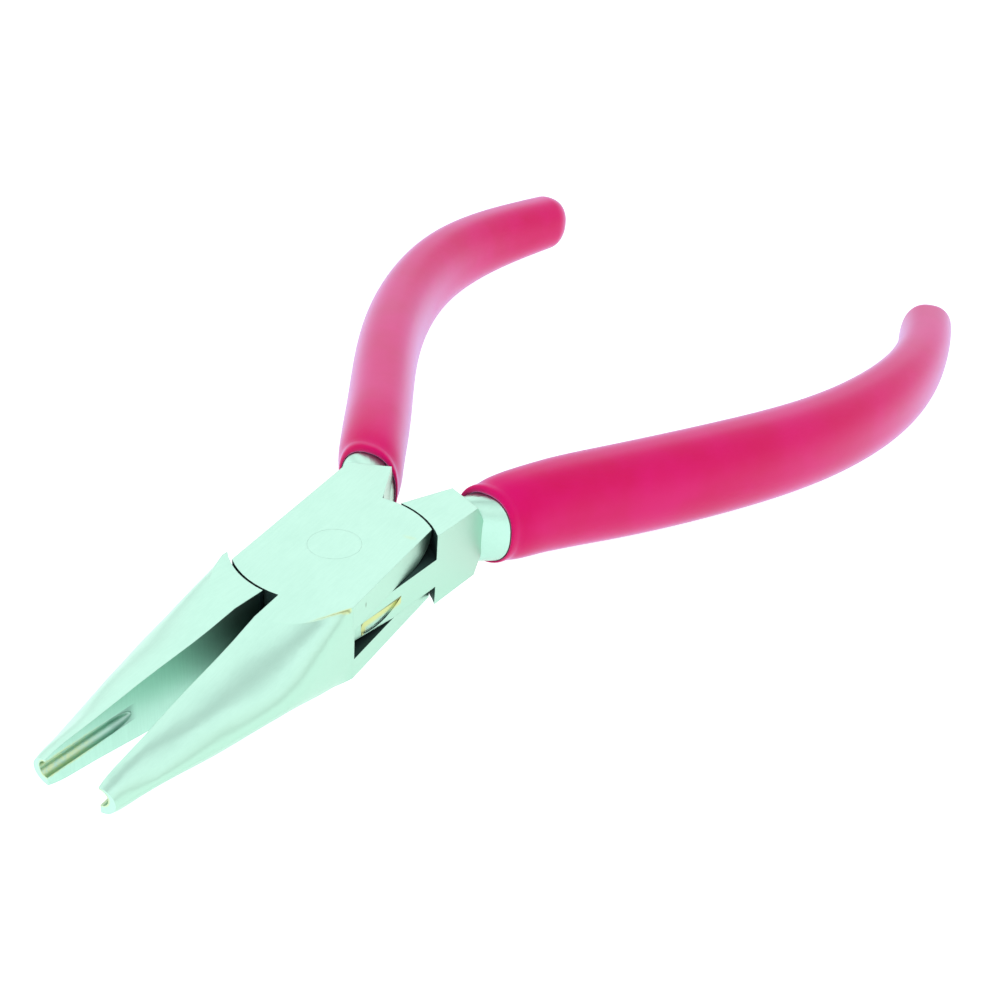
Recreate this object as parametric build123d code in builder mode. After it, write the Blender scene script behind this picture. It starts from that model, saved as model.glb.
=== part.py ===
"""Box-joint crimping pliers for jewellery work, drawn lying flat.

Two forged halves cross at the joint. The box half is slotted right through, and the thinner tongue
of the other half passes through that slot and turns on a flush rivet. Each handle carries a
dip-moulded vinyl grip.

Frame: the origin is on the pivot axis at the underside of the joint, +Z is the pivot axis, and +Y
runs from the jaws to the handles. Each half is drawn with the jaws closed on the plane X = 0, its
jaw on the +X side and its handle on the -X side. The tongue half is then mirrored, and both are
swung open by OPEN_ANGLE. The tongue half's handle is a little shorter than the box half's.
"""

import os
from math import copysign, cos, pi, sin, sqrt

from build123d import *

# Joint, in millimetres
JOINT_THICKNESS = 7.4
JOINT_HALF_WIDTH = 6.25
CHEEK_RADIUS = 9.05          # rounded ends of the box half's two cheeks
SHOULDER_RADIUS = 9.27       # hollow shoulders of the tongue half, around the cheeks
TONGUE_RADIUS = 9.2          # rounded ends of the tongue inside the slot
SLOT_RADIUS = 9.55           # hollow end walls of the slot
TONGUE_BOTTOM = 1.95
TONGUE_TOP = 4.9
SLOT_CLEARANCE = 0.05        # above and below the tongue
PIN_RADIUS = 2.4
PIN_CLEARANCE = 0.05

# Jaws: one D-shaped section per row, the flat side on the closing plane
MID_HEIGHT = JOINT_THICKNESS / 2
JAW_LENGTH = 32.5
JAW_ROOT = 7.5
JAW_OUTLINE_STEPS = 12
# distance from the pivot, width, half height, and how square the rounded side is
JAW_SECTIONS = [
    (JAW_ROOT, JOINT_HALF_WIDTH, 5.0, 10.0),
    (9.5, JOINT_HALF_WIDTH, 4.25, 4.7),
    (12.0, JOINT_HALF_WIDTH, 3.8, 3.4),
    (15.0, 6.15, 3.32, 2.3),
    (20.0, 5.15, 2.8, 1.85),
    (26.0, 3.4, 2.15, 1.75),
    (31.0, 1.85, 1.6, 1.8),
    (JAW_LENGTH, 1.4, 1.2, 2.0),
]
GROOVE_RADIUS = 0.75         # crimping groove, open at the tip
GROOVE_HEIGHT = MID_HEIGHT + 0.25
GROOVE_STRAIGHT = 26.2       # distance from the pivot where the groove starts to run out
GROOVE_END = 24.2

# Neck: a square block with its rear edges sloped off, and an oval bar flaring out of it
NECK_GAP = 0.2               # from the closing plane to the neck
NECK_REAR_OUTER = (-6.25, 14.21)
NECK_REAR_INNER = (-2.65, 15.53)
NECK_SLOPE_LENGTH = 1.0
NECK_SLOPE_DROP = 1.9
BAR_SQUARENESS = 2.3
OVAL_STEPS = 24              # points round an oval section
# middle of the section, half width and half height
BAR_START = ((-3.64, 13.4, MID_HEIGHT), 1.64, 3.4)
BAR_MOUTH = ((-5.42, 15.6, MID_HEIGHT + 0.1), 3.05, 3.5)

# Handle: the grip starts at the bar's mouth and follows this line, first a little above mid height
HANDLE_POINTS = [
    (-5.42, 15.6, MID_HEIGHT + 0.35),
    (-7.7, 20.5, MID_HEIGHT + 0.72),
    (-11.2, 28.0, MID_HEIGHT + 0.39),
    (-17.9, 42.0, MID_HEIGHT - 0.03),
    (-23.15, 56.0, MID_HEIGHT - 0.22),
    (-25.63, 71.0, MID_HEIGHT),
    (-24.0, 85.0, MID_HEIGHT),
    (-19.75, 97.9, MID_HEIGHT),
]
HANDLE_START_DIRECTION = (-0.42, 0.91, 0.1)
HANDLE_END_DIRECTION = (0.33, 0.94, 0.0)
GRIP_THICKNESS = 1.1
GRIP_LEAD = 2.5              # the sleeve is drawn from this far before the mouth, then cut there
GRIP_SQUARENESS = 2.5
# fraction of the handle's length, half width and half height over the grip
GRIP_SECTIONS = [
    (0.0, 3.25, 4.25),
    (0.12, 3.43, 4.7),
    (0.25, 3.53, 4.92),
    (0.50, 3.5, 4.8),
    (0.75, 3.2, 4.5),
]
GRIP_END_SECTION = (3.1, 3.75)
GRIP_END_LENGTH = 0.04       # the rounded end, as a fraction of the handle's length
GRIP_END_CURVE = [(0.0, 1.0), (0.5, 0.87), (0.8, 0.6), (0.975, 0.22)]   # share of it, and the scale there
CORE_BARE_LENGTH = 0.05      # from the end of the steel to the end of the grip, as a fraction
BOX_GRIP_END = 1.0
TONGUE_GRIP_END = 0.948      # the tongue half's handle is the shorter one

# Filed flank of the tongue, and eased inner corners of the cheeks
FLANK_DEPTH = 0.15
# the flat is a leaf: along Y and above mid height, blunt in front and pointed at the rear
FLANK_TOP_FRONT = (-3.6, 0.1)
FLANK_FRONT = (-3.95, -0.55)
FLANK_BOTTOM_FRONT = (-3.5, -1.15)
FLANK_BOTTOM_MIDDLE = (-0.6, -1.12)
FLANK_REAR = (1.6, -0.1)
BEVEL_REAR_END = 0.5          # along Y, where the bevel under the tongue's front starts
BEVEL_FRONT_RISE = 1.1
BEVEL_WIDTH = 1.3
UPPER_EASE = (3.7, 2.2)      # length and height
LOWER_EASE = (2.4, 1.6)
EASE_WIDTH = 1.5

OPEN_ANGLE = 4.5             # each half, from the closed position

OVERSIZE = 40.0              # cutters reach this far past the joint
CUT_MARGIN = 1.0             # cutters start this far outside the face they cut


def jaw_outline(width, half_height, squareness):
    """Half of a superellipse, from its lowest point round the outer side to its highest."""
    points = [(0, -half_height)]
    for step in range(1, JAW_OUTLINE_STEPS):
        angle = pi * (step / JAW_OUTLINE_STEPS - 0.5)
        rise = abs(sin(angle)) ** (2 / squareness)
        height = half_height * (rise if angle > 0 else -rise)
        points.append((width * cos(angle) ** (2 / squareness), height))
    points.append((0, half_height))
    return points


# Centre line of the handle, from the grip's mouth to its end
with BuildLine() as handle_line:
    Spline(*HANDLE_POINTS, tangents=[HANDLE_START_DIRECTION, HANDLE_END_DIRECTION])
handle_path = handle_line.edge()


def handle_plane(fraction):
    """Upright section plane of the handle: its X runs up and its Y across the handle."""
    forward = handle_path % fraction
    return Plane(origin=handle_path @ fraction, x_dir=(0, 0, 1), z_dir=(forward.X, forward.Y, 0))


def oval_section(plane, half_width, half_height, squareness):
    """Superellipse on a section plane whose X runs up."""
    points = []
    for step in range(OVAL_STEPS):
        angle = 2 * pi * step / OVAL_STEPS
        up = copysign(abs(cos(angle)) ** (2 / squareness), cos(angle))
        across = copysign(abs(sin(angle)) ** (2 / squareness), sin(angle))
        points.append((half_height * up, half_width * across))
    with BuildSketch(plane) as section:
        with BuildLine():
            Spline(*points, periodic=True)
        make_face()
    return section.sketch


def bar_section(middle, half_width, half_height):
    """Section of the bar between the neck and the grip, square to Y."""
    plane = Plane(origin=middle, x_dir=(0, 0, 1), z_dir=(0, 1, 0))
    return oval_section(plane, half_width, half_height, BAR_SQUARENESS)


def core_section(fraction, half_width, half_height):
    """Section of the steel, one vinyl thickness inside the grip's own section."""
    inner_width = half_width - GRIP_THICKNESS
    inner_height = half_height - GRIP_THICKNESS
    return oval_section(handle_plane(fraction), inner_width, inner_height, GRIP_SQUARENESS)


def steel_handle(grip_end):
    """The bar out of the neck and the steel inside the grip, for a grip that ends at a fraction."""
    mouth = bar_section(*BAR_MOUTH)
    core = [core_section(*row) for row in GRIP_SECTIONS[1:]]
    core.append(core_section(grip_end - CORE_BARE_LENGTH, *GRIP_END_SECTION))
    with BuildPart() as steel:
        loft([bar_section(*BAR_START), mouth], ruled=True)
        loft([mouth, *core])
    return steel.part


def vinyl_grip(grip_end, steel):
    """Sleeve over the steel, cut square to Y at the mouth and closed by a rounded end."""
    mouth_width, mouth_height = GRIP_SECTIONS[0][1:]
    lead_plane = handle_plane(0).offset(-GRIP_LEAD)
    body = [oval_section(lead_plane, mouth_width, mouth_height, GRIP_SQUARENESS)]
    for fraction, half_width, half_height in GRIP_SECTIONS[1:]:
        body.append(oval_section(handle_plane(fraction), half_width, half_height, GRIP_SQUARENESS))
    cap = []
    for share, scale in GRIP_END_CURVE:
        plane = handle_plane(grip_end - GRIP_END_LENGTH * (1 - share))
        half_width, half_height = (scale * size for size in GRIP_END_SECTION)
        cap.append(oval_section(plane, half_width, half_height, GRIP_SQUARENESS))
    with BuildPart() as grip:
        loft([*body, cap[0]])
        loft(cap)
        split(bisect_by=Plane(origin=BAR_MOUTH[0], z_dir=(0, 1, 0)), keep=Keep.TOP)
        add(steel, mode=Mode.SUBTRACT)
    return grip.part


# Shape shared by both halves: one jaw, clipped to the thickness of the joint
with BuildPart() as jaw_blank:
    for distance, width, half_height, squareness in JAW_SECTIONS:
        with BuildSketch(Plane(origin=(0, -distance, MID_HEIGHT), x_dir=(1, 0, 0), z_dir=(0, -1, 0))):
            with BuildLine():
                outline = jaw_outline(width, half_height, squareness)
                Spline(*outline)
                Line(outline[-1], outline[0])
            make_face()
    loft()
    with BuildSketch(Plane.XY):
        Rectangle(OVERSIZE * 2, OVERSIZE * 2)
    extrude(amount=JOINT_THICKNESS, mode=Mode.INTERSECT)

# Shape shared by both halves: jaw and neck at the full thickness of the joint
with BuildPart() as half_blank:
    with BuildSketch(Plane.XY):
        with BuildLine():
            Polyline(
                (-NECK_GAP, 0),
                (-NECK_GAP, CHEEK_RADIUS),
                NECK_REAR_INNER,
                NECK_REAR_OUTER,
                (-JOINT_HALF_WIDTH, 0),
                close=True,
            )
        make_face()
    extrude(amount=JOINT_THICKNESS)
    rear_face = half_blank.faces().sort_by(Axis.Y)[-1]
    rear_edges = rear_face.edges().filter_by(Plane.XY)
    chamfer(rear_edges, length=NECK_SLOPE_DROP, length2=NECK_SLOPE_LENGTH, reference=rear_face)
    with BuildSketch(Plane.XY):
        Rectangle(JOINT_HALF_WIDTH, JAW_ROOT, align=(Align.MIN, Align.MAX))
    extrude(amount=JOINT_THICKNESS)
    add(jaw_blank.part)

# The steel handle of each half, closed pose
box_handle = steel_handle(BOX_GRIP_END)
tongue_handle = steel_handle(TONGUE_GRIP_END)

# Cutter for the half-round groove along each jaw face, running out in a rounded point
with BuildPart() as crimp_groove:
    with BuildSketch(Plane(origin=(0, 0, GROOVE_HEIGHT), x_dir=(0, -1, 0), z_dir=(1, 0, 0))):
        with BuildLine():
            run_out = GROOVE_STRAIGHT - GROOVE_END
            EllipticalCenterArc((GROOVE_STRAIGHT, 0), run_out, GROOVE_RADIUS, start_angle=90, arc_size=90)
            Line((GROOVE_END, 0), (OVERSIZE, 0))
            Line((OVERSIZE, 0), (OVERSIZE, GROOVE_RADIUS))
            Line((OVERSIZE, GROOVE_RADIUS), (GROOVE_STRAIGHT, GROOVE_RADIUS))
        make_face()
    revolve(axis=Axis((0, 0, GROOVE_HEIGHT), (0, 1, 0)))

slot_bottom = TONGUE_BOTTOM - SLOT_CLEARANCE
slot_top = TONGUE_TOP + SLOT_CLEARANCE
cheek_corner = sqrt(CHEEK_RADIUS**2 - JOINT_HALF_WIDTH**2)

# Box half: cheeks above and below the slot, jaw on the right, handle on the left
with BuildPart() as box_half_closed:
    add(half_blank.part)
    add(box_handle)
    with BuildSketch(Plane.XY):
        Circle(CHEEK_RADIUS)
        Rectangle(2 * JOINT_HALF_WIDTH, 2 * CHEEK_RADIUS, mode=Mode.INTERSECT)
    extrude(amount=JOINT_THICKNESS)
    with BuildSketch(Plane.XY.offset(slot_bottom)):
        Circle(SLOT_RADIUS)
    extrude(amount=slot_top - slot_bottom, mode=Mode.SUBTRACT)
    with BuildSketch(Plane.XY):
        Circle(PIN_RADIUS)
    extrude(amount=JOINT_THICKNESS, mode=Mode.SUBTRACT)
    add(crimp_groove.part, mode=Mode.SUBTRACT)
    # the cheeks' inner corners at the rear of the right side are rounded off
    for cheek_face, outward, (ease_length, ease_height) in [
        (slot_top, 1, UPPER_EASE),
        (slot_bottom, -1, LOWER_EASE),
    ]:
        with BuildSketch(Plane.YZ.offset(JOINT_HALF_WIDTH + CUT_MARGIN)):
            corner_middle = cheek_corner - ease_length / 2 + CUT_MARGIN
            with Locations((corner_middle, cheek_face + outward * ease_height / 2)):
                Rectangle(ease_length + 2 * CUT_MARGIN, ease_height)
            with Locations((cheek_corner - ease_length, cheek_face + outward * ease_height)):
                Ellipse(ease_length, ease_height, mode=Mode.SUBTRACT)
        extrude(amount=-(EASE_WIDTH + CUT_MARGIN), mode=Mode.SUBTRACT)

with BuildPart() as box_half:
    add(box_half_closed.part, rotation=(0, 0, OPEN_ANGLE))
box_half.part.label = "box_half"

# Tongue half: full thickness outside the shoulders, the thin tongue between them
with BuildPart() as tongue_half_closed:
    add(half_blank.part)
    add(tongue_handle)
    for bottom, top in [(0, TONGUE_BOTTOM), (TONGUE_TOP, JOINT_THICKNESS)]:
        with BuildSketch(Plane.XY.offset(bottom)):
            Circle(SHOULDER_RADIUS)
        extrude(amount=top - bottom, mode=Mode.SUBTRACT)
    with BuildSketch(Plane.XY.offset(TONGUE_BOTTOM)):
        Circle(TONGUE_RADIUS)
        Rectangle(2 * JOINT_HALF_WIDTH, 2 * TONGUE_RADIUS, mode=Mode.INTERSECT)
    extrude(amount=TONGUE_TOP - TONGUE_BOTTOM)
    with BuildSketch(Plane.XY):
        Circle(PIN_RADIUS + PIN_CLEARANCE)
    extrude(amount=JOINT_THICKNESS, mode=Mode.SUBTRACT)
    add(crimp_groove.part, mode=Mode.SUBTRACT)
    with BuildSketch(Plane(origin=(-JOINT_HALF_WIDTH, 0, MID_HEIGHT), x_dir=(0, 1, 0), z_dir=(1, 0, 0))):
        with BuildLine():
            ThreePointArc(FLANK_TOP_FRONT, FLANK_FRONT, FLANK_BOTTOM_FRONT)
            Spline(FLANK_BOTTOM_FRONT, FLANK_BOTTOM_MIDDLE, FLANK_REAR)
            Line(FLANK_REAR, FLANK_TOP_FRONT)
        make_face()
    extrude(amount=FLANK_DEPTH, mode=Mode.SUBTRACT)
    with BuildSketch(Plane.YZ.offset(-JOINT_HALF_WIDTH)):
        with BuildLine():
            Polyline(
                (BEVEL_REAR_END, TONGUE_BOTTOM),
                (-TONGUE_RADIUS, TONGUE_BOTTOM + BEVEL_FRONT_RISE),
                (-TONGUE_RADIUS, TONGUE_BOTTOM),
                close=True,
            )
        make_face()
    extrude(amount=BEVEL_WIDTH, mode=Mode.SUBTRACT)

with BuildPart() as tongue_half_mirrored:
    add(tongue_half_closed.part)
    mirror(about=Plane.YZ, mode=Mode.REPLACE)

with BuildPart() as tongue_half:
    add(tongue_half_mirrored.part, rotation=(0, 0, -OPEN_ANGLE))
tongue_half.part.label = "tongue_half"

# Rivet: pressed in the cheeks, a running fit in the tongue, ground flush on both faces
with BuildPart() as pivot_pin:
    with BuildSketch(Plane.XY):
        Circle(PIN_RADIUS)
    extrude(amount=JOINT_THICKNESS)
pivot_pin.part.label = "pivot_pin"

# Grips: vinyl sleeves with rounded ends, drawn over the steel handles
box_grip_closed = vinyl_grip(BOX_GRIP_END, box_handle)
tongue_grip_closed = vinyl_grip(TONGUE_GRIP_END, tongue_handle)

with BuildPart() as box_half_grip:
    add(box_grip_closed, rotation=(0, 0, OPEN_ANGLE))
box_half_grip.part.label = "box_half_grip"

with BuildPart() as tongue_grip_mirrored:
    add(tongue_grip_closed)
    mirror(about=Plane.YZ, mode=Mode.REPLACE)

with BuildPart() as tongue_half_grip:
    add(tongue_grip_mirrored.part, rotation=(0, 0, -OPEN_ANGLE))
tongue_half_grip.part.label = "tongue_half_grip"

os.makedirs("parts", exist_ok=True)
for piece in [box_half, tongue_half, pivot_pin, box_half_grip, tongue_half_grip]:
    export_step(piece.part, f"parts/{piece.part.label}.step")
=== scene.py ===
"""Looks of the crimping pliers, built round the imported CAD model.

The steel halves and the rivet are the CAD shapes with ground-steel materials. The vinyl grips are swept
in mesh code along the same handle line as the CAD grips, with a rolled lip and a rounded closed end.
"""

import math

import bmesh
import bpy
import numpy as np
from mathutils import Matrix, Vector


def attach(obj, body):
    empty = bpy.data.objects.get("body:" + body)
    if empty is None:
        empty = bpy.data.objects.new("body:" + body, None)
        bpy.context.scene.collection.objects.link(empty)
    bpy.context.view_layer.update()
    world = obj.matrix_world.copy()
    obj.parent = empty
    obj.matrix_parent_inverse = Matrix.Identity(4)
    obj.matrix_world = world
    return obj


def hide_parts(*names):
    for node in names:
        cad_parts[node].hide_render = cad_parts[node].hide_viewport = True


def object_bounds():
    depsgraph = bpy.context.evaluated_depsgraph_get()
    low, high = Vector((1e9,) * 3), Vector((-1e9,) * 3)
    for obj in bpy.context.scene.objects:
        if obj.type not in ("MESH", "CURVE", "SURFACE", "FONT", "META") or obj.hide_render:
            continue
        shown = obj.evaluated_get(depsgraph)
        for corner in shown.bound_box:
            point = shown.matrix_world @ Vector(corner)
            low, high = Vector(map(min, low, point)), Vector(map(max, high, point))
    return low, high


MM = 0.001

# Driving dimensions, in millimetres and degrees, the same as the CAD model's
OPEN_ANGLE = 4.5
MID_HEIGHT = 3.7
BAR_MOUTH = ((-5.42, 15.6, MID_HEIGHT + 0.1), 3.05, 3.5)       # middle, half width, half height
BAR_SQUARENESS = 2.3
HANDLE_POINTS = [
    (-5.42, 15.6, MID_HEIGHT + 0.35),
    (-7.7, 20.5, MID_HEIGHT + 0.72),
    (-11.2, 28.0, MID_HEIGHT + 0.39),
    (-17.9, 42.0, MID_HEIGHT - 0.03),
    (-23.15, 56.0, MID_HEIGHT - 0.22),
    (-25.63, 71.0, MID_HEIGHT),
    (-24.0, 85.0, MID_HEIGHT),
    (-19.75, 97.9, MID_HEIGHT),
]
HANDLE_START_DIRECTION = (-0.42, 0.91, 0.1)
HANDLE_END_DIRECTION = (0.33, 0.94, 0.0)
GRIP_SQUARENESS = 2.5
# fraction of the handle's length, half width and half height over the grip
GRIP_SECTIONS = [
    (0.0, 3.25, 4.25),
    (0.12, 3.43, 4.7),
    (0.25, 3.53, 4.92),
    (0.50, 3.5, 4.8),
    (0.75, 3.2, 4.5),
    (0.96, 3.1, 3.75),
]
GRIP_END_LENGTH = 0.04         # the rounded end's share of the handle's length
BOX_GRIP_END = 1.0             # where each grip ends, as a fraction of the handle's length
TONGUE_GRIP_END = 0.948
LINE_SAMPLES = 2001            # places at which the handle's line is measured

# Camera: where it stands, in millimetres, and how it is turned, in degrees
CAMERA_PLACE = (61.26, -87.79, 76.67)
CAMERA_AZIMUTH = 27.24
CAMERA_ELEVATION = 30.93
CAMERA_ROLL = 4.47
CAMERA_LENS = 51.82


# ---------------------------------------------------------------- smooth curves

def spline(knots, values, start_slope, end_slope):
    """Smooth curve through values at knots, with the slope given at both ends. Returns a function."""
    knots = np.asarray(knots, float)
    values = np.asarray(values, float)
    gaps = np.diff(knots)
    count = len(knots)
    matrix = np.zeros((count, count))
    target = np.zeros_like(values)
    matrix[0, 0] = matrix[-1, -1] = 1.0
    target[0], target[-1] = start_slope, end_slope
    chords = (np.diff(values, axis=0).T / gaps).T
    for i in range(1, count - 1):
        matrix[i, i - 1] = gaps[i]
        matrix[i, i] = 2 * (gaps[i - 1] + gaps[i])
        matrix[i, i + 1] = gaps[i - 1]
        target[i] = 3 * (gaps[i] * chords[i - 1] + gaps[i - 1] * chords[i])
    slopes = np.linalg.solve(matrix, target)

    def at(x):
        i = min(max(int(np.searchsorted(knots, x)) - 1, 0), count - 2)
        t = (x - knots[i]) / gaps[i]
        return (
            (1 + 2 * t) * (1 - t) ** 2 * values[i]
            + t * (1 - t) ** 2 * gaps[i] * slopes[i]
            + t * t * (3 - 2 * t) * values[i + 1]
            + t * t * (t - 1) * gaps[i] * slopes[i + 1]
        )

    return at


def handle_line():
    """The handle's centre line, closed pose, as a function of distance, and its length."""
    points = np.array(HANDLE_POINTS)
    knots = np.concatenate([[0], np.cumsum(np.linalg.norm(np.diff(points, axis=0), axis=1))])
    first = np.array(HANDLE_START_DIRECTION) / np.linalg.norm(HANDLE_START_DIRECTION)
    last = np.array(HANDLE_END_DIRECTION) / np.linalg.norm(HANDLE_END_DIRECTION)
    curve = spline(knots, points, first, last)
    fine = np.linspace(0, knots[-1], LINE_SAMPLES)
    track = np.array([curve(x) for x in fine])
    run = np.concatenate([[0], np.cumsum(np.linalg.norm(np.diff(track, axis=0), axis=1))])

    def at(distance):
        return np.array([np.interp(distance, run, track[:, axis]) for axis in (0, 1, 2)])

    return at, run[-1]


# ---------------------------------------------------------------- objects

def new_object(name, mesh, material):
    """An object in the scene that shows the mesh in one material."""
    mesh.materials.clear()
    mesh.materials.append(material)
    made = bpy.data.objects.new(name, mesh)
    bpy.context.scene.collection.objects.link(made)
    return made


OVAL_POINTS = 96
WALL_GAP = 0.012               # millimetres between the steel bar and the sleeve's inner wall
INNER_DEPTHS = (1.6, 0.8)      # how far inside the mouth the inner wall's rings stand, in millimetres
LIP_LENGTH = 0.34              # millimetres of handle taken by half of the rolled lip
LIP_STEPS = 14
MOUTH_BLEND = 8.0              # millimetres over which the sections turn square to the handle
DIRECTION_STEP = 0.1           # millimetres each way over which the handle's direction is taken
BODY_RINGS = 120
END_STEPS = 22
END_SQUARENESS = 2.0           # a plain ellipse at the tip of the rounded end
# distance behind the mouth, and how far the vinyl stands out from its plain sections there
LIP_PROFILE = [
    (0.34, -0.20),
    (0.52, -0.20),
    (0.75, -0.23),
    (1.0, -0.23),
    (1.4, -0.16),
    (2.0, -0.06),
    (2.8, 0.0),
    (3.8, 0.02),
    (5.0, 0.01),
    (6.2, 0.0),
]


def oval(half_width, half_height, squareness):
    """Superellipse as (across, up) pairs."""
    points = []
    for step in range(OVAL_POINTS):
        angle = 2 * math.pi * step / OVAL_POINTS
        across = math.copysign(abs(math.cos(angle)) ** (2 / squareness), math.cos(angle))
        up = math.copysign(abs(math.sin(angle)) ** (2 / squareness), math.sin(angle))
        points.append((half_width * across, half_height * up))
    return points


def size_curve(length):
    """Half width and half height of the plain grip, as a function of distance along the handle."""
    stations = np.array([row[0] for row in GRIP_SECTIONS]) * length
    sizes = np.array([row[1:] for row in GRIP_SECTIONS])
    slope_in = (sizes[1] - sizes[0]) / (stations[1] - stations[0])
    slope_out = (sizes[-1] - sizes[-2]) / (stations[-1] - stations[-2])
    return spline(stations, sizes, slope_in, slope_out)


# A ring is a distance along the handle, a half width across it, a half height, a squareness, and a drop
# from the handle's line to the ring's middle.

def mouth_rings(size_at):
    """Rings from the sleeve's inner wall out over the rolled lip and back to the plain grip."""
    lean = HANDLE_START_DIRECTION[1] / math.hypot(*HANDLE_START_DIRECTION[:2])
    steel = np.array([BAR_MOUTH[1] * lean, BAR_MOUTH[2]]) + WALL_GAP
    steel_drop = HANDLE_POINTS[0][2] - BAR_MOUTH[0][2]
    rim = size_at(LIP_PROFILE[0][0]) + LIP_PROFILE[0][1]
    rings = [(distance, *steel, BAR_SQUARENESS, steel_drop) for distance in INNER_DEPTHS]
    for step in range(LIP_STEPS + 1):
        angle = math.pi * step / LIP_STEPS
        outward = (1 - math.cos(angle)) / 2
        size = steel + (rim - steel) * outward
        drop = steel_drop * (1 - outward)
        rings.append((LIP_LENGTH * (1 - math.sin(angle)), *size, BAR_SQUARENESS, drop))
    for distance, proud in LIP_PROFILE[1:]:
        blend = min(distance / MOUTH_BLEND, 1.0)
        squareness = BAR_SQUARENESS + (GRIP_SQUARENESS - BAR_SQUARENESS) * blend
        rings.append((distance, *(size_at(distance) + proud), squareness, 0.0))
    return rings


def body_rings(size_at, finish, cap):
    """Rings along the plain grip and round its closed end, which takes the last cap millimetres."""
    rings = []
    for distance in np.linspace(MOUTH_BLEND, finish - cap, BODY_RINGS):
        rings.append((distance, *size_at(distance), GRIP_SQUARENESS, 0.0))
    shoulder = size_at(finish - cap)
    for step in range(1, END_STEPS):
        angle = math.pi / 2 * step / END_STEPS
        squareness = GRIP_SQUARENESS + (END_SQUARENESS - GRIP_SQUARENESS) * step / END_STEPS
        size = shoulder * math.cos(angle)
        rings.append((finish - cap + cap * math.sin(angle), *size, squareness, 0.0))
    return rings


def grip_placer(line, length, mirrored):
    """A function from a distance along the handle, across it and up to a point of the open tool.

    At the mouth a section faces along the tool, as the steel's end does, and further back along the handle.
    """
    flip = -1 if mirrored else 1
    swing = Matrix.Rotation(math.radians(-OPEN_ANGLE if mirrored else OPEN_ANGLE), 3, "Z")

    def placed(distance, across, up):
        here = line(distance)
        ahead = line(min(distance + DIRECTION_STEP, length)) - line(max(distance - DIRECTION_STEP, 0))
        ahead = ahead[:2] / np.linalg.norm(ahead[:2])
        blend = min(distance / MOUTH_BLEND, 1.0)
        blend = blend * blend * (3 - 2 * blend)
        facing = (1 - blend) * np.array([0.0, 1.0]) + blend * ahead
        facing = facing / np.linalg.norm(facing)
        side = np.array([facing[1], -facing[0]])
        flat = here[:2] + side * across / facing.dot(ahead)
        return swing @ Vector((flip * flat[0], flat[1], here[2] + up)) * MM

    return placed


def grip_mesh(name, end, mirrored):
    """Vinyl sleeve: inner wall, rolled lip, body and closed round end, in one skin."""
    line, length = handle_line()
    finish = end * length
    size_at = size_curve(length)
    rings = mouth_rings(size_at) + body_rings(size_at, finish, GRIP_END_LENGTH * length)
    placed = grip_placer(line, length, mirrored)

    maker = bmesh.new()
    made = []
    for distance, half_width, half_height, squareness, drop in rings:
        outline = oval(half_width, half_height, squareness)
        made.append([maker.verts.new(placed(distance, across, up - drop)) for across, up in outline])
    for near, far in zip(made, made[1:]):
        for i in range(OVAL_POINTS):
            after = (i + 1) % OVAL_POINTS
            maker.faces.new([near[i], near[after], far[after], far[i]])
    pole = maker.verts.new(placed(finish, 0, 0))
    for i in range(OVAL_POINTS):
        maker.faces.new([made[-1][i], made[-1][(i + 1) % OVAL_POINTS], pole])
    bmesh.ops.recalc_face_normals(maker, faces=maker.faces)
    mesh = bpy.data.meshes.new(name)
    maker.to_mesh(mesh)
    maker.free()
    mesh.shade_smooth()
    return mesh


# ---------------------------------------------------------------- materials

class Field:
    """A shader socket that can be added, multiplied and compared like a number."""

    def __init__(self, tree, socket):
        self.tree = tree
        self.socket = socket

    def _math(self, operation, *others):
        node = self.tree.nodes.new("ShaderNodeMath")
        node.operation = operation
        for slot, value in zip(node.inputs, (self, *others)):
            if isinstance(value, Field):
                self.tree.links.new(value.socket, slot)
            else:
                slot.default_value = value
        return Field(self.tree, node.outputs[0])

    def __add__(self, other):
        return self._math("ADD", other)

    def __sub__(self, other):
        return self._math("SUBTRACT", other)

    def __mul__(self, other):
        return self._math("MULTIPLY", other)

    def lowest(self, other):
        return self._math("MINIMUM", other)

    def highest(self, other):
        return self._math("MAXIMUM", other)

    def size(self):
        return self._math("ABSOLUTE")

    def root(self):
        return self._math("SQRT")

    def ramp(self, low, high):
        """0 at low, 1 at high, with soft ends. low may be above high."""
        node = self.tree.nodes.new("ShaderNodeMapRange")
        node.interpolation_type = "SMOOTHSTEP"
        self.tree.links.new(self.socket, node.inputs["Value"])
        if low < high:
            node.inputs["From Min"].default_value, node.inputs["From Max"].default_value = low, high
        else:
            node.inputs["From Min"].default_value, node.inputs["From Max"].default_value = high, low
            node.inputs["To Min"].default_value, node.inputs["To Max"].default_value = 1.0, 0.0
        return Field(self.tree, node.outputs["Result"])

    def within(self, low, high, soft):
        """1 between low and high, 0 outside, soft by a distance at both ends."""
        return self.ramp(low - soft, low) * self.ramp(high + soft, high)

    def ragged(self, noise, depth):
        """The same distance moved to and fro by noise, for a mark with an uneven edge."""
        return self + noise * depth - depth / 2


EDGE_SAMPLES = 6


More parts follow.
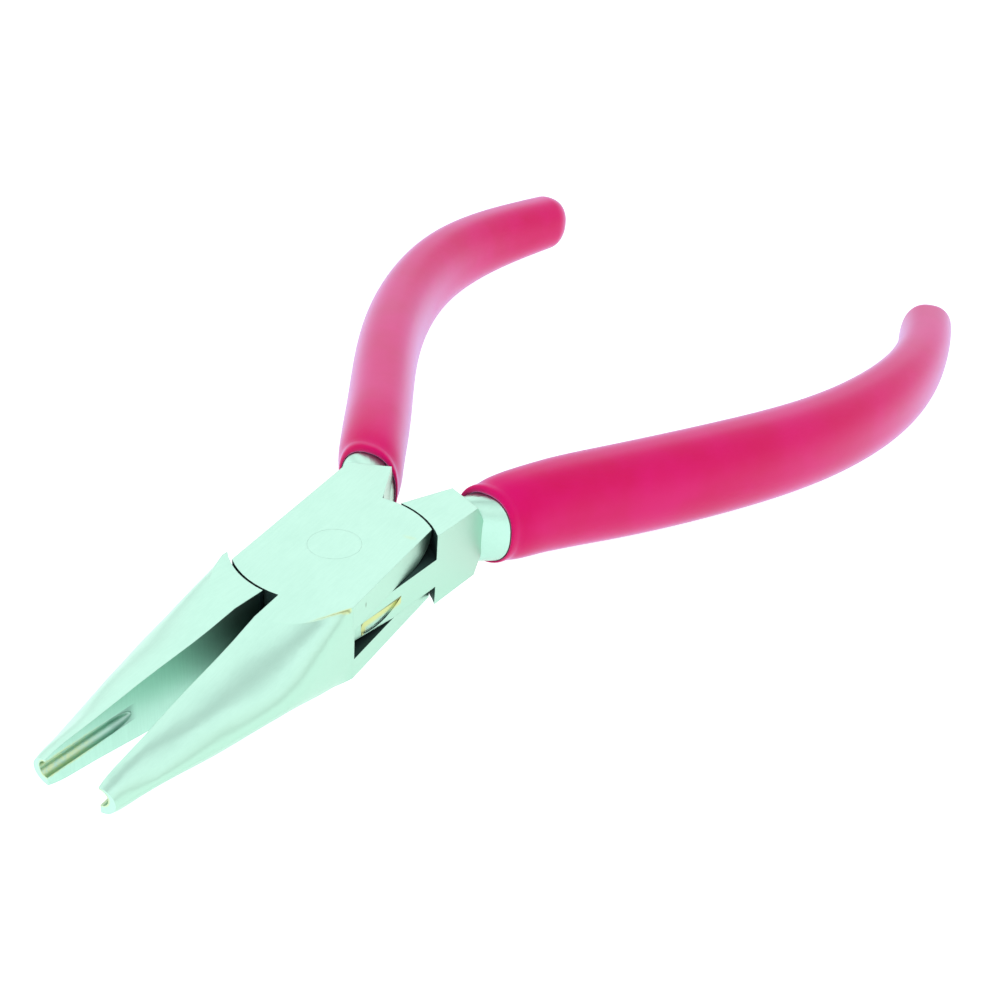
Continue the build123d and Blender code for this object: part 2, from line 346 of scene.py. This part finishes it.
class Maker:
    """A new material with short calls for the nodes that it needs. Lengths are in millimetres."""

    def __init__(self, name):
        self.material = bpy.data.materials.new(name)
        self.material.use_nodes = True
        self.tree = self.material.node_tree
        self.shader = self.tree.nodes["Principled BSDF"]
        self.place = self.tree.nodes.new("ShaderNodeTexCoord")
        to_mm = self.tree.nodes.new("ShaderNodeVectorMath")
        to_mm.operation = "SCALE"
        to_mm.inputs["Scale"].default_value = 1 / MM
        self.tree.links.new(self.place.outputs["Object"], to_mm.inputs[0])
        self.mm = to_mm.outputs[0]

    def turned(self, angle):
        """The place in millimetres, turned about the pivot by angle degrees."""
        node = self.tree.nodes.new("ShaderNodeVectorRotate")
        node.rotation_type = "Z_AXIS"
        self.tree.links.new(self.mm, node.inputs["Vector"])
        node.inputs["Angle"].default_value = math.radians(angle)
        return node.outputs[0]

    def split(self, vector):
        """X, Y and Z of a vector."""
        node = self.tree.nodes.new("ShaderNodeSeparateXYZ")
        self.tree.links.new(vector, node.inputs[0])
        return [Field(self.tree, output) for output in node.outputs]

    def normal(self):
        """X, Y and Z of the surface's direction."""
        return self.split(self.place.outputs["Normal"])

    def noise(self, vector, stretch, detail=3.0, roughness=0.55):
        """Noise with about one feature per millimetre, times stretch along X, Y and Z."""
        scaled = self.tree.nodes.new("ShaderNodeVectorMath")
        scaled.operation = "MULTIPLY"
        self.tree.links.new(vector, scaled.inputs[0])
        scaled.inputs[1].default_value = stretch
        node = self.tree.nodes.new("ShaderNodeTexNoise")
        node.inputs["Scale"].default_value = 1.0
        node.inputs["Detail"].default_value = detail
        node.inputs["Roughness"].default_value = roughness
        self.tree.links.new(scaled.outputs[0], node.inputs["Vector"])
        return Field(self.tree, node.outputs["Fac"])

    def mix(self, share, first, second):
        """A colour between first and second, each a colour or a socket."""
        node = self.tree.nodes.new("ShaderNodeMix")
        node.data_type = "RGBA"
        self.tree.links.new(share.socket, node.inputs["Factor"])
        sockets = [s for s in node.inputs if s.type == "RGBA"]
        for slot, value in zip(sockets, (first, second)):
            if isinstance(value, tuple):
                slot.default_value = (*value, 1.0)
            else:
                self.tree.links.new(value, slot)
        return [s for s in node.outputs if s.type == "RGBA"][0]

    def bump(self, height, strength, distance, edge_radius=0.0):
        """Fine relief, and edges eased to a radius, in millimetres."""
        node = self.tree.nodes.new("ShaderNodeBump")
        if edge_radius:
            eased = self.tree.nodes.new("ShaderNodeBevel")
            eased.samples = EDGE_SAMPLES
            eased.inputs["Radius"].default_value = edge_radius * MM
            self.tree.links.new(eased.outputs[0], node.inputs["Normal"])
        node.inputs["Strength"].default_value = strength
        node.inputs["Distance"].default_value = distance * MM
        self.tree.links.new(height.socket, node.inputs["Height"])
        self.tree.links.new(node.outputs[0], self.shader.inputs["Normal"])

    def use(self, **values):
        """Sets shader sockets, a number or colour as it is and a Field or socket by a link."""
        for name, value in values.items():
            slot = self.shader.inputs[name.replace("_", " ")]
            if isinstance(value, Field):
                self.tree.links.new(value.socket, slot)
            elif isinstance(value, bpy.types.NodeSocket):
                self.tree.links.new(value, slot)
            else:
                slot.default_value = value


STEEL = (0.49, 0.77, 0.655)
STEEL_DULL = (0.42, 0.69, 0.58)
# The next two are painted shade: on the side faces, and at the rear of the jaw face and in the groove
STEEL_SIDE_SHADE = (0.42, 0.67, 0.54)
STEEL_PAINTED_SHADE = (0.05, 0.11, 0.10)
# painted shade, near black, for the joint's seams, slot, bevel and rounded corners
PAINTED_SHADE_BLACK = (0.010, 0.028, 0.034)
GOLD = (0.62, 0.66, 0.26)
# dark stains on the box half, and painted contact shade on the tongue half's leaf
STAIN_AND_SHADE_DARK = (0.06, 0.06, 0.02)

# Grain and wear, as features per millimetre along X, Y and Z
JAW_GRAIN = (0.5, 6.0, 0.2)
BODY_GRAIN = (6.0, 0.5, 6.0)
BROAD_WEAR = (0.22, 0.22, 0.22)
FINE_WEAR = (2.2, 2.2, 2.2)
GRAIN_STRENGTH = 0.3
GRAIN_DEPTH = 0.02
EDGE_RADIUS = 0.08

# Which way a face has to point, as soft limits on one part of its direction, from none to full
WALL = (0.7, 0.3)              # upward part
LEVEL = (0.9, 0.97)            # upward part
SIDEWAYS = (0.8, 0.95)         # sideways part
NOT_SIDEWAYS = (0.5, 0.2)      # sideways part
# the next limit places the painted shade on the side faces
SIDE_SHADE_LIMITS = (0.55, 0.97)       # sideways part
JAW_FACE = (0.93, 0.99)        # sideways part

# Places in a half's closed frame, in millimetres, with the tongue half mirrored in X. A pair of limits
# runs from none to full where it is a ramp, and from low to high where it is a range.
FACE_START = (-6.0, -8.5)      # ramp along Y on to the jaw's inner face
FACE_SIDE = (0.6, 0.3)         # ramp along X on to the jaw's inner face
FACE_SHADE = (-19.0, -8.7)     # ramp along Y over which that face darkens towards the joint
# The next eleven place the joint's painted shade
SEAM_RADII = (8.95, 9.65)      # range between the joint's hollow and round walls
SEAM_SIDE = (6.22, 6.12)       # ramp along X in from the joint's side
SLOT_HEIGHTS = (1.6, 5.2)      # range
SLOT_REACH = (9.8, 9.5)        # ramp in radius
BEVEL_X = (-5.2, -4.7)         # ranges of the wall inside the bevel under the tongue's front
BEVEL_Y = (-9.5, 0.5)
UPPER_EASE_X = (4.6, 5.1)      # ranges of the wall inside the upper cheek's rounded rear corner
UPPER_EASE_Y = (2.6, 7.2)
LOWER_EASE_X = (4.6, 4.8)      # ramp, then ranges, of the lower cheek's rounded rear corner
LOWER_EASE_Y = (4.2, 7.2)
LOWER_EASE_Z = (0.3, 1.85)
GROOVE_HEIGHT = MID_HEIGHT + 0.25
GROOVE_RADIUS = 0.80
# the next two place the painted shade inside the groove
GROOVE_WALL = (0.80, 0.70)     # ramp in from the groove's edge
GROOVE_REAR = (-23.6, -24.6)   # ramp along Y into the groove
GILT_WIDTH = (0.13, 0.03)      # ramp towards the groove's edge
GILT_REAR = (-26.0, -30.0)     # ramp along Y towards the jaw tip
TOP = (6.9, 7.2)               # ramp up to the flat top
JOINT_TOP = (7.2, 7.35)        # ramp up to the joint's flat top
JOINT_SIDE = (6.0, 6.2)        # ramp out to the joint's side
EDGE_STAIN = ((6.28, -7.67), (3.77, -11.72))     # ends, in X and Y, of a line on the front of the flat top
EDGE_GOLD_WIDTH = (0.24, 0.05)                   # ramps towards that line
EDGE_DARK_WIDTH = (0.08, 0.01)
SMEAR = (4.3, 5.2)             # middle, in Y and X, of a smear on the joint's flat top
SMEAR_WIDTH = (0.9, 0.1)       # ramp towards the middle
SPOT = (-5.37, 6.38)           # middle, in Y and Z, of a dark spot on the joint's side
SPOT_WIDTH = (0.36, 0.12)      # ramp towards the middle
FLANK_SIDE = (-5.8, -6.0)      # ramp out to the tongue half's flank
LEAF = (-3.9, 1.6)             # range along Y of the filed leaf on that flank
LEAF_TOP = MID_HEIGHT          # height of the leaf's straight upper edge
LEAF_MARK = (0.0, 1.1)         # range below that edge
# the next ramp places the thin line of painted contact shade
LEAF_SHADE_WIDTH = (0.13, 0.04)                   # ramp towards the leaf's upper and front edges

# How strongly each layer of colour covers what is below it
WEAR_SHARE = 0.7
SIDE_SHADE_SHARE = 0.9
SHADE_SHARE = 0.85
GROOVE_SHADE_SHARE = 0.40
GILT_SHARE = 0.6
EDGE_GOLD_SHARE = 0.7
EDGE_DARK_SHARE = 0.6
SMEAR_SHARE = 0.2
SPOT_SHARE = 0.75
LEAF_SHARE = 0.9
DARK_SHARE = 0.8
LOWER_EASE_SHARE = 0.85
# painted shade in the joint
PAINTED_SHADE_SHARE = 0.92


def joint_painted_shade(x, y, z, nx, nz, mirrored):
    """Where painted shade darkens the joint: its seams, the slot, the bevel, and the cheeks' rounded
    corners.
    """
    radius = (x * x + y * y).root()
    walls = nz.size().ramp(*WALL) * radius.within(*SEAM_RADII, 0.1) * x.size().ramp(*SEAM_SIDE)
    slot = nz.size().ramp(*LEVEL) * z.within(*SLOT_HEIGHTS, 0.3) * radius.ramp(*SLOT_REACH)
    joint_shade = walls.highest(slot)
    sideways = nx.size().ramp(*SIDEWAYS)
    if mirrored:
        return joint_shade.highest(x.within(*BEVEL_X, 0.15) * y.within(*BEVEL_Y, 0.2) * sideways)
    upper = x.within(*UPPER_EASE_X, 0.2) * y.within(*UPPER_EASE_Y, 0.3) * sideways
    lower = x.ramp(*LOWER_EASE_X) * y.within(*LOWER_EASE_Y, 0.4) * z.within(*LOWER_EASE_Z, 0.1)
    return joint_shade.highest(upper).highest(lower * nx.size().ramp(*NOT_SIDEWAYS) * LOWER_EASE_SHARE)


def from_line(x, y, start, finish):
    """Distance run along a line from its start, distance off to its side, and the line's length."""
    (x0, y0), (x1, y1) = start, finish
    length = math.hypot(x1 - x0, y1 - y0)
    ux, uy = (x1 - x0) / length, (y1 - y0) / length
    run = (x - x0) * ux + (y - y0) * uy
    off = ((x - x0) * uy - (y - y0) * ux).size()
    return run, off, length


def from_spot(y, other, middle, narrow):
    """Distance from a spot that is narrow times as slim along Y as along the other axis."""
    off_y = y - middle[0]
    off_other = other - middle[1]
    return (off_y * off_y * narrow ** 2 + off_other * off_other).root()


def box_marks(x, y, z, fine):
    """The box half's gold and dark marks: the stained edge, the smear on its top, the spot on its side."""
    run, off, length = from_line(x, y, *EDGE_STAIN)
    inside = run.ramp(-0.1, 0.2) * run.ramp(length, 0.6) * z.ramp(*TOP)
    edge_gold = off.ragged(fine, 0.3).ramp(*EDGE_GOLD_WIDTH) * inside * EDGE_GOLD_SHARE
    edge_dark = off.ragged(fine, 0.2).ramp(*EDGE_DARK_WIDTH) * inside * EDGE_DARK_SHARE
    smear = from_spot(y, x, SMEAR, 2.0).ragged(fine, 1.2).ramp(*SMEAR_WIDTH) * z.ramp(*JOINT_TOP)
    spot = from_spot(y, z, SPOT, 3.0).ragged(fine, 0.1).ramp(*SPOT_WIDTH) * x.ramp(*JOINT_SIDE)
    return edge_gold.highest(smear * SMEAR_SHARE), edge_dark.highest(spot * SPOT_SHARE)


def tongue_marks_and_shade(x, y, z, fine):
    """The tongue half's gold marks along the upper and front edges of the filed leaf, and painted contact
    shade in a thin line on those edges.
    """
    below = (z - LEAF_TOP) * -1.0
    behind = y - LEAF[0]
    on_leaf = x.ramp(*FLANK_SIDE) * y.within(*LEAF, 0.1)
    gold = below.within(-0.02, 0.50, 0.45).highest(behind.within(0.0, 0.5, 0.5)) * on_leaf * LEAF_SHARE
    edge = below.size().lowest(behind.size()).ragged(fine, 0.10)
    # painted contact shade in a thin line along the leaf's upper and front edges
    dark = edge.ramp(*LEAF_SHADE_WIDTH) * on_leaf * below.within(*LEAF_MARK, 0.15)
    return gold * below.within(*LEAF_MARK, 0.1), dark


def worn_and_shaded_steel(make, place, y, nx, on_face, lines):
    """The steel's colour before any mark: worn, with painted shade on the side faces and towards the rear
    of the jaw face.
    """
    broad = make.noise(place, BROAD_WEAR, detail=6.0, roughness=0.65)
    contrast = on_face * 0.2 + 0.4
    wear = broad.ramp(0.3, 0.7) * 0.4 + lines.ramp(0.35, 0.65) * contrast
    off_face = on_face * -1.0 + 1.0
    colour = make.mix(wear * WEAR_SHARE, STEEL, STEEL_DULL)
    # painted shade on the side faces
    colour = make.mix(nx.size().ramp(*SIDE_SHADE_LIMITS) * off_face * SIDE_SHADE_SHARE, colour, STEEL_SIDE_SHADE)
    # painted shade on the jaw face towards the joint
    return make.mix(on_face * y.ramp(*FACE_SHADE) * SHADE_SHARE, colour, STEEL_PAINTED_SHADE)


def steel_material(name, swing, mirrored):
    """Ground steel: lines up and down the jaw faces, lines along the rest, worn duller patches, gold and
    dark marks, and painted shade on the side faces, the jaw face's rear, the groove and the joint.
    """
    make = Maker(name)
    place = make.turned(-swing)
    x, y, z = make.split(place)
    x = x * (-1.0 if mirrored else 1.0)
    nx, _, nz = make.normal()
    on_face = nx.size().ramp(*JAW_FACE) * y.ramp(*FACE_START) * x.ramp(*FACE_SIDE)
    up_face = make.noise(place, JAW_GRAIN, detail=6.0, roughness=0.75)
    along = make.noise(place, BODY_GRAIN, detail=6.0, roughness=0.75)
    fine = make.noise(place, FINE_WEAR, detail=6.0, roughness=0.75)
    lines = up_face * on_face + along * (on_face * -1.0 + 1.0)
    colour = worn_and_shaded_steel(make, place, y, nx, on_face, lines)

    rise = z - GROOVE_HEIGHT
    groove = (x * x + rise * rise).root()
    # painted shade inside the groove towards the jaw tip
    groove_shade = groove.ramp(*GROOVE_WALL) * y.ramp(*GROOVE_REAR)
    colour = make.mix(groove_shade * GROOVE_SHADE_SHARE, colour, STEEL_PAINTED_SHADE)
    gilt = (groove - GROOVE_RADIUS).size().ramp(*GILT_WIDTH) * y.ramp(*GILT_REAR) * fine.ramp(0.35, 0.6)

    gold, dark = (tongue_marks_and_shade if mirrored else box_marks)(x, y, z, fine)
    colour = make.mix(gold.highest(gilt * GILT_SHARE), colour, GOLD)
    # dark stains on the box half, painted contact shade on the tongue half's leaf edges
    colour = make.mix(dark * DARK_SHARE, colour, STAIN_AND_SHADE_DARK)
    # painted shade in the joint's seams, slot, bevel and rounded corners, which are also made rougher
    joint_shade = joint_painted_shade(x, y, z, nx, nz, mirrored)
    make.use(
        Base_Color=make.mix(joint_shade * PAINTED_SHADE_SHARE, colour, PAINTED_SHADE_BLACK),
        Metallic=1.0,
        Roughness=lines * 0.12 + on_face * 0.08 + joint_shade * 0.3 + 0.27,
    )
    make.bump(lines, GRAIN_STRENGTH, GRAIN_DEPTH, edge_radius=EDGE_RADIUS)
    return make.material


VINYL = (0.55, 0.0, 0.080)
VINYL_PALE = (0.60, 0.001, 0.125)
PEEL = (0.5, 0.5, 0.5)         # features per millimetre
CLOUD = (0.1, 0.1, 0.1)
PEEL_STRENGTH = 0.05
PEEL_DEPTH = 0.06


def vinyl_material():
    """Dip-moulded vinyl: almost no gloss, a little see-through, with a bloom that shows at a low angle."""
    make = Maker("grip_vinyl")
    peel = make.noise(make.mm, PEEL, detail=2.0)
    cloud = make.noise(make.mm, CLOUD, detail=4.0)
    colour = make.mix(cloud.ramp(0.3, 0.7), VINYL, VINYL_PALE)
    make.use(
        Base_Color=colour,
        Roughness=cloud * 0.10 + 0.27,
        IOR=1.5,
        Specular_IOR_Level=0.04,
        Subsurface_Weight=0.10,
        Subsurface_Radius=(1.0, 0.12, 0.25),
        Subsurface_Scale=0.6 * MM,
        Sheen_Weight=1.0,
        Sheen_Roughness=0.42,
        Sheen_Tint=(0.66, 0.60, 1.0, 1.0),
    )
    make.bump(peel, PEEL_STRENGTH, PEEL_DEPTH)
    return make.material


def floor_material():
    """White sheet that glows by itself, as on a light table, so that shadows stay faint."""
    make = Maker("pale_floor")
    make.use(
        Base_Color=(0.40, 0.42, 0.42, 1.0),
        Roughness=0.9,
        Specular_IOR_Level=0.0,
        Emission_Color=(0.97, 1.0, 1.0, 1.0),
        Emission_Strength=0.93,
    )
    return make.material


# ---------------------------------------------------------------- stage

FLOOR_SIZE = 3.0               # metres each way from the middle
# The sky's strength low down and what it gains higher up, by the upward part of a direction
SKY_LOW = 0.90
SKY_GAIN = 0.43
SKY_RISE = (0.04, 0.34)
# A dim gap between the broad light on the left and the low one on the right: how much it takes away,
# and its soft limits, from none to full, by the X part and the upward part of a direction
GAP_DEPTH = 0.42
GAP_LEFT = (-0.18, 0.06)
GAP_RIGHT = (0.46, 0.18)
GAP_RISE = (0.30, 0.60)


def build_stage(lowest):
    """White floor at the given height, under a plain white sky with one dim gap."""
    maker = bmesh.new()
    bmesh.ops.create_grid(maker, x_segments=4, y_segments=4, size=FLOOR_SIZE)
    mesh = bpy.data.meshes.new("floor")
    maker.to_mesh(mesh)
    maker.free()
    floor = new_object("floor", mesh, floor_material())
    floor.location = (0, 0, lowest)

    world = bpy.data.worlds.new("studio")
    bpy.context.scene.world = world
    world.use_nodes = True
    tree = world.node_tree
    background = tree.nodes["Background"]
    direction = tree.nodes.new("ShaderNodeTexCoord")
    parts = tree.nodes.new("ShaderNodeSeparateXYZ")
    tree.links.new(direction.outputs["Generated"], parts.inputs[0])
    across, _, height = (Field(tree, output) for output in parts.outputs)
    sky = height.ramp(*SKY_RISE) * SKY_GAIN + SKY_LOW
    gap = across.ramp(*GAP_LEFT) * across.ramp(*GAP_RIGHT) * height.ramp(*GAP_RISE)
    sky = sky * (gap * -GAP_DEPTH + 1.0)
    tree.links.new(sky.socket, background.inputs["Strength"])
    background.inputs["Color"].default_value = (1.0, 1.0, 1.0, 1.0)


def build_camera():
    """Camera in front of the jaws, to their right and above, turned by azimuth, elevation and roll."""
    azimuth, elevation, roll = (math.radians(a) for a in (CAMERA_AZIMUTH, CAMERA_ELEVATION, CAMERA_ROLL))
    back = Vector(
        (
            math.sin(azimuth) * math.cos(elevation),
            -math.cos(azimuth) * math.cos(elevation),
            math.sin(elevation),
        )
    )
    level = Vector((math.cos(azimuth), math.sin(azimuth), 0))
    upward = back.cross(level)
    right = level * math.cos(roll) + upward * math.sin(roll)
    data = bpy.data.cameras.new("camera")
    data.lens = CAMERA_LENS
    data.sensor_width = 36.0
    data.clip_start = 0.005
    camera = bpy.data.objects.new("camera", data)
    turn = Matrix((right, back.cross(right), back)).transposed()
    camera.matrix_world = Matrix.Translation(Vector(CAMERA_PLACE) * MM) @ turn.to_4x4()
    bpy.context.scene.collection.objects.link(camera)
    bpy.context.scene.camera = camera


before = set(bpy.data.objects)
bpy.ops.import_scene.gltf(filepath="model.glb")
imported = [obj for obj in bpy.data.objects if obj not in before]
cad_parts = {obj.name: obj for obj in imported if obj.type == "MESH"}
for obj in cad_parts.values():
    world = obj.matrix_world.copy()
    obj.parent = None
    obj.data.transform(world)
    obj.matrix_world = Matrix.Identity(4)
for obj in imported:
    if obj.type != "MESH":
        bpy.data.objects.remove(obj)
cad_low, cad_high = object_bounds()
bpy.context.scene.view_settings.view_transform = "Standard"

vinyl = vinyl_material()
box_steel = steel_material("box_steel", OPEN_ANGLE, False)
tongue_steel = steel_material("tongue_steel", -OPEN_ANGLE, True)

for node, steel, slot in [
    ("box_half", box_steel, "forged_steel"),
    ("tongue_half", tongue_steel, "forged_steel"),
    ("pivot_pin", box_steel, "rivet_steel"),
]:
    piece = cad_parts[node]
    piece.data.materials.clear()
    piece.data.materials.append(steel)

for node, body, end, mirrored in [
    ("box_half_grip", "box_body", BOX_GRIP_END, False),
    ("tongue_half_grip", "tongue_body", TONGUE_GRIP_END, True),
]:
    piece = new_object(node + "_vinyl", grip_mesh(node + "_vinyl", end, mirrored), vinyl)
    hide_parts(node)
    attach(piece, body)

build_stage(cad_low.z)
build_camera()
